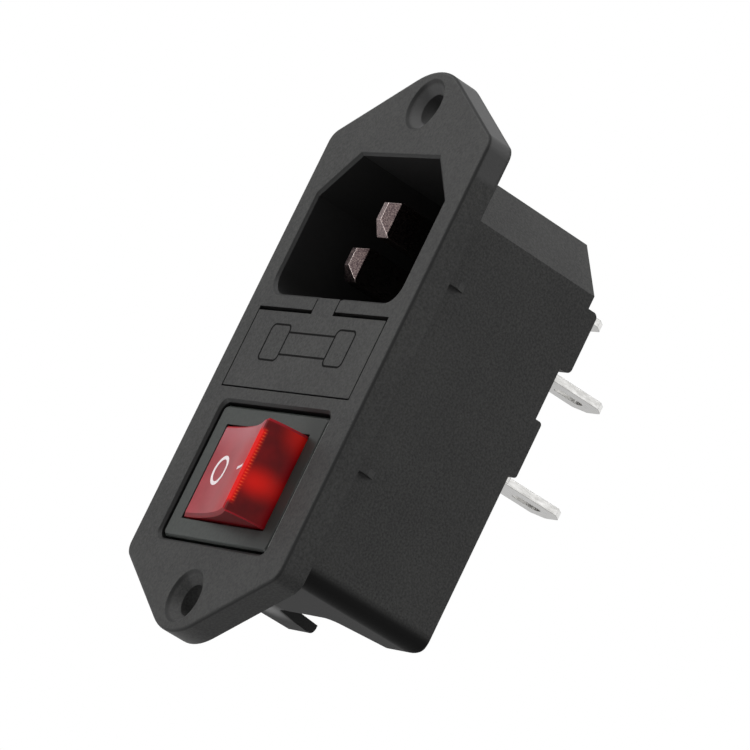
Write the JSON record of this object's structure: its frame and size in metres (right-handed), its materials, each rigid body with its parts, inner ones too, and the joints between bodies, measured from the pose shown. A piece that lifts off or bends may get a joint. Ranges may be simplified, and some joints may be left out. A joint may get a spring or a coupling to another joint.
{
  "type": "power entry module",
  "caption": "Screw-mounted power entry module with a mains inlet, a pull-out fuse drawer and an illuminated rocker switch.",
  "frame": {"origin": "midway between the two screw holes, on the back of the flange where it lies on the panel", "axes": "-Y out of the front towards the user, +Z along the long side with the inlet on top, +X to the right seen from the front"},
  "size_m": [0.031, 0.0334, 0.0642],
  "materials": {
    "black_nylon": "fine grained, matte",
    "frame_nylon": "smooth satin",
    "red_lens": "polished, translucent",
    "nickel_plate": "nickel plated, satin",
    "clear_glass": "clear",
    "steel_wire": "bright",
    "plunger_plastic": "smooth",
    "brass_strip": "stamped",
    "contact_metal": "polished",
    "resistor_body": "lacquered"
  },
  "bodies": {
    "module": {"centre_terminal_lower": "nickel_plate", "centre_terminal_upper": "nickel_plate", "earth_pin": "nickel_plate", "electrode_a": "steel_wire", "electrode_b": "steel_wire", "end_terminal_lower": "nickel_plate", "end_terminal_upper": "nickel_plate", "fixed_rivet_lower": "contact_metal", "fixed_rivet_upper": "contact_metal", "fuse_contact_left": "nickel_plate", "fuse_contact_right": "nickel_plate", "housing": "black_nylon", "lamp_lead_a": "steel_wire", "lamp_lead_b": "steel_wire", "line_pin": "nickel_plate", "neon_tube": "clear_glass", "neutral_pin": "nickel_plate", "resistor": "resistor_body", "resistor_lead": "steel_wire", "switch_frame": "frame_nylon"},
    "fuse_drawer": {"drawer": "black_nylon", "fuse_cap_left": "nickel_plate", "fuse_cap_right": "nickel_plate", "fuse_glass": "clear_glass", "fuse_wire": "steel_wire", "spare_cap_left": "nickel_plate", "spare_cap_right": "nickel_plate", "spare_glass": "clear_glass", "spare_wire": "steel_wire"},
    "rocker": {"rocker": "red_lens", "plunger_lower": "plunger_plastic", "plunger_spring_lower": "steel_wire", "plunger_spring_upper": "steel_wire", "plunger_upper": "plunger_plastic"},
    "arm_upper": {"bridge_upper": "brass_strip", "moving_rivet_upper": "contact_metal"},
    "arm_lower": {"bridge_lower": "brass_strip", "moving_rivet_lower": "contact_metal"}
  },
  "joints": [
    {"name": "drawer_slide", "type": "slide", "parent": "module", "child": "fuse_drawer", "axis": [0, -1, 0], "range_m": [0, 0.016]},
    {"name": "rocker_hinge", "type": "hinge", "parent": "module", "child": "rocker", "pos_m": [0, -0.00108, -0.01465], "axis": [0, 0, 1], "range_deg": [0, 30]},
    {"name": "arm_hinge_upper", "type": "hinge", "parent": "module", "child": "arm_upper", "pos_m": [0, 0.00706, -0.01175], "axis": [0, 0, 1], "range_deg": [-14, 0]},
    {"name": "arm_hinge_lower", "type": "hinge", "parent": "module", "child": "arm_lower", "pos_m": [0, 0.00706, -0.01755], "axis": [0, 0, 1], "range_deg": [-14, 0]}
  ],
  "couplings": [
    {"joint": "arm_hinge_upper", "follows": "rocker_hinge", "ratio": -0.4666},
    {"joint": "arm_hinge_lower", "follows": "rocker_hinge", "ratio": -0.4666}
  ]
}
